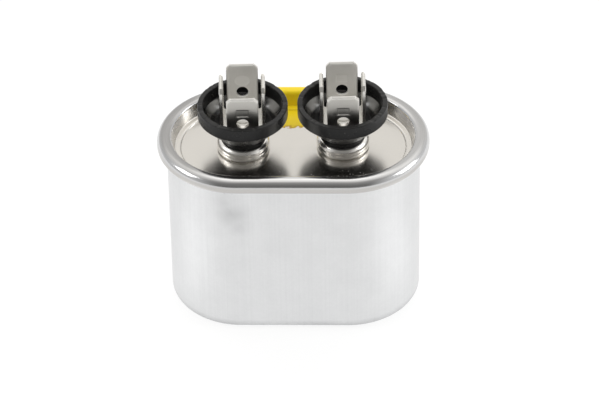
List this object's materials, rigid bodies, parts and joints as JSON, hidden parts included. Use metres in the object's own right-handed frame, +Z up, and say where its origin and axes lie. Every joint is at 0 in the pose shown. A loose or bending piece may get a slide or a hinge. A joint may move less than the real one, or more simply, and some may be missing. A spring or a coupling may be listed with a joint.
{
  "type": "motor run capacitor",
  "caption": "Oval drawn metal can with a double-seamed recessed lid and black insulating cups round its quick-connect blade terminals; it helps a single-phase motor run.",
  "frame": {"origin": "centre of the can's floor, on the surface that it stands on", "axes": "+Z up along the can, +X along the oval's long way to the right terminal, +Y to the back, away from the picture's viewer"},
  "size_m": [0.0548, 0.0334, 0.0524],
  "materials": {
    "can_aluminium": "satin, drawn",
    "lid_tinplate": "bright tinplate",
    "cup_plastic": "moulded, satin",
    "blade_tin": "tin plated",
    "rivet_tin": "tin plated",
    "gasket_rubber": "matt",
    "insulating_board": "pressed board",
    "lead_tin": "tinned copper",
    "film_roll": "metallised film",
    "liner_plastic": "translucent film"
  },
  "bodies": {
    "root": {"can": "can_aluminium", "face_blades_left": "blade_tin", "face_blades_right": "blade_tin", "gasket_left": "gasket_rubber", "gasket_right": "gasket_rubber", "insulating_washer_left": "insulating_board", "insulating_washer_right": "insulating_board", "lead_left": "lead_tin", "lead_right": "lead_tin", "lid": "lid_tinplate", "liner": "liner_plastic", "side_blades_left": "blade_tin", "side_blades_right": "blade_tin", "solder_lug_left": "lead_tin", "solder_lug_right": "lead_tin", "terminal_cup_left": "cup_plastic", "terminal_cup_right": "cup_plastic", "terminal_rivet_left": "rivet_tin", "terminal_rivet_right": "rivet_tin", "top_spacer": "insulating_board", "winding": "film_roll"}
  },
  "joints": []
}
